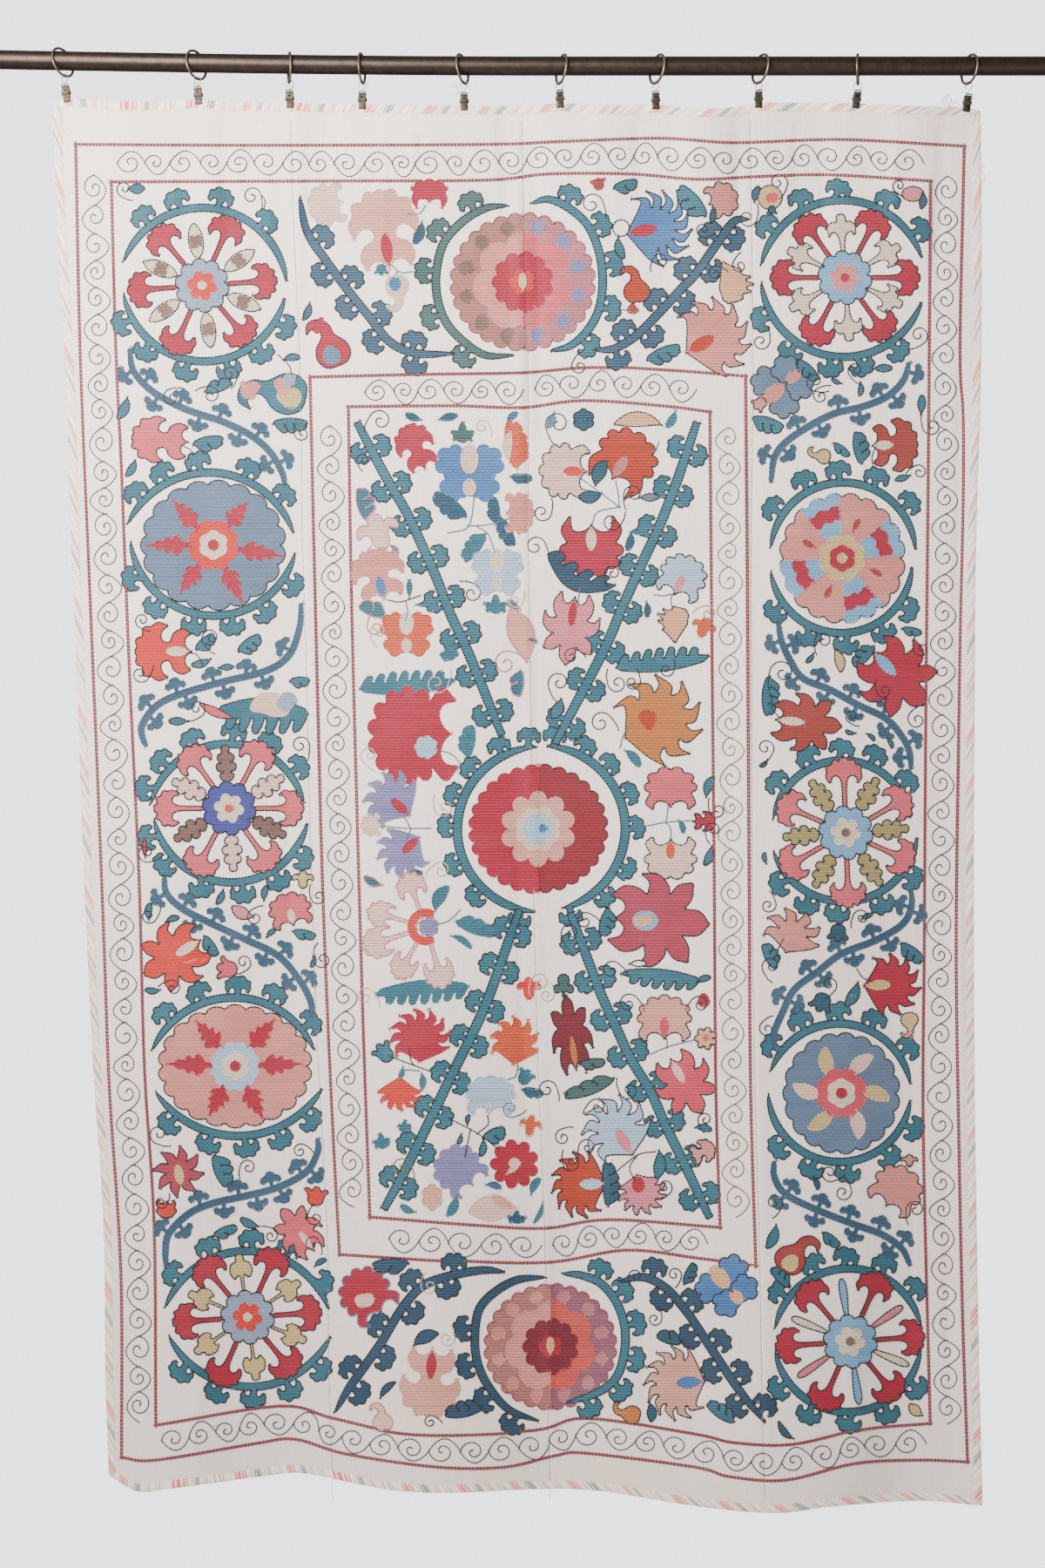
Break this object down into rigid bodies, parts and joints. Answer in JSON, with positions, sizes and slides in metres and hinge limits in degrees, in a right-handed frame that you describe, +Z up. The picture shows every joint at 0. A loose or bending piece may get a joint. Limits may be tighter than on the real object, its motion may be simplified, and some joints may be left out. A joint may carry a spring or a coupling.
{
  "type": "embroidered suzani wall hanging on a curtain rod",
  "caption": "Hung embroidered cotton cloth of joined upright panels with a bound striped edge, held by clip rings on a round curtain rod.",
  "frame": {"origin": "on the rod's axis, midway between its ends", "axes": "+Z up, +X along the rod to the right as seen from the cloth's embroidered face, which looks along -Y"},
  "size_m": [1.52, 0.059, 1.9432],
  "materials": {
    "cotton": "matt off-white handloom cotton",
    "striped_cotton": "matt cream cotton with coral, pink and grey-blue stripes on the bias",
    "silk_thread": "laid silk thread with a soft sheen",
    "bronze_rod": "brushed dark bronze",
    "antique_brass": "dull antique brass",
    "steel_wire": "bare bent wire",
    "stamped_brass": "dark stamped brass, worn on its edges"
  },
  "bodies": {
    "root": {"panel_1": "cotton", "panel_2": "cotton", "panel_3": "cotton", "panel_4": "cotton", "binding_top": "striped_cotton", "binding_bottom": "striped_cotton", "binding_left": "striped_cotton", "binding_right": "striped_cotton", "rod": "bronze_rod", "ring_01": "antique_brass", "ring_02": "antique_brass", "ring_03": "antique_brass", "ring_04": "antique_brass", "ring_05": "antique_brass", "ring_06": "antique_brass", "ring_07": "antique_brass", "ring_08": "antique_brass", "ring_09": "antique_brass", "ring_10": "antique_brass", "eye_01": "steel_wire", "eye_02": "steel_wire", "eye_03": "steel_wire", "eye_04": "steel_wire", "eye_05": "steel_wire", "eye_06": "steel_wire", "eye_07": "steel_wire", "eye_08": "steel_wire", "eye_09": "steel_wire", "eye_10": "steel_wire", "jaw_front_01": "stamped_brass", "jaw_front_02": "stamped_brass", "jaw_front_03": "stamped_brass", "jaw_front_04": "stamped_brass", "jaw_front_05": "stamped_brass", "jaw_front_06": "stamped_brass", "jaw_front_07": "stamped_brass", "jaw_front_08": "stamped_brass", "jaw_front_09": "stamped_brass", "jaw_front_10": "stamped_brass", "jaw_back_01": "stamped_brass", "jaw_back_02": "stamped_brass", "jaw_back_03": "stamped_brass", "jaw_back_04": "stamped_brass", "jaw_back_05": "stamped_brass", "jaw_back_06": "stamped_brass", "jaw_back_07": "stamped_brass", "jaw_back_08": "stamped_brass", "jaw_back_09": "stamped_brass", "jaw_back_10": "stamped_brass"}
  },
  "joints": []
}
